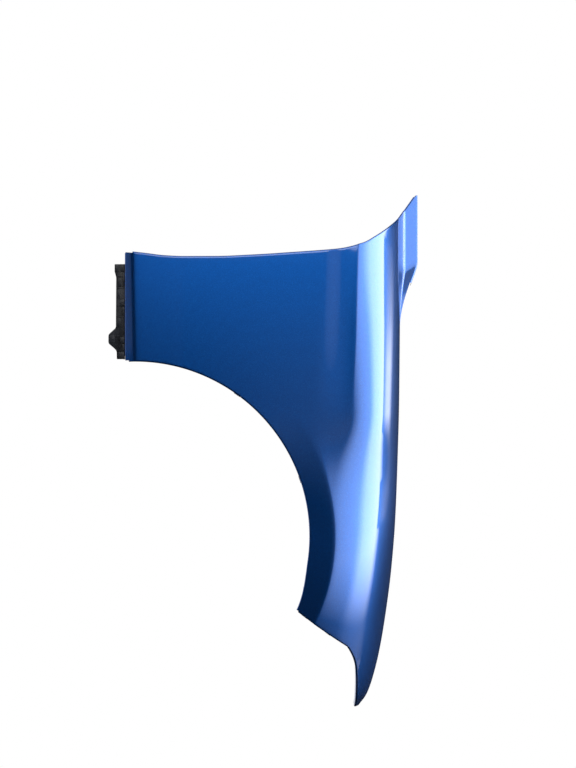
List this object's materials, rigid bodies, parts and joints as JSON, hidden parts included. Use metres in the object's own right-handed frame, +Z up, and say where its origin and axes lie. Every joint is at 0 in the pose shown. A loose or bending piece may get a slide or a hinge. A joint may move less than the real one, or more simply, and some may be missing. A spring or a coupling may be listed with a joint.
{
  "type": "car fender",
  "caption": "Front fender of a car: a pressed, painted steel panel with a wheel arch, a bolting flange along the hood, folded edges, brackets, spring nuts and a moulded strip under its foot.",
  "frame": {"origin": "underside of the middle land of the bolting flange along the hood, halfway between its two locating holes, where the fender rests on the body's side rail", "axes": "+X forwards along the car, +Y inboard (the outer face looks towards -Y), +Z up, for a right-hand fender as it stands on the car"},
  "size_m": [1.074, 0.2382, 0.635],
  "materials": {
    "body_paint": "deep blue metallic paint under clear gloss lacquer",
    "black_plastic": "moulded black plastic, fine grain",
    "zinc_steel": "zinc-plated spring steel"
  },
  "bodies": {
    "root": {"arch_nut_1": "zinc_steel", "arch_nut_2": "zinc_steel", "door_bracket": "body_paint", "fender_panel": "body_paint", "headlamp_bracket": "body_paint", "joint_nut_1": "zinc_steel", "joint_nut_2": "zinc_steel", "leg_brace": "body_paint", "sill_rivet_1": "black_plastic", "sill_rivet_2": "black_plastic", "sill_rivet_3": "black_plastic", "sill_strip": "black_plastic"}
  },
  "joints": []
}
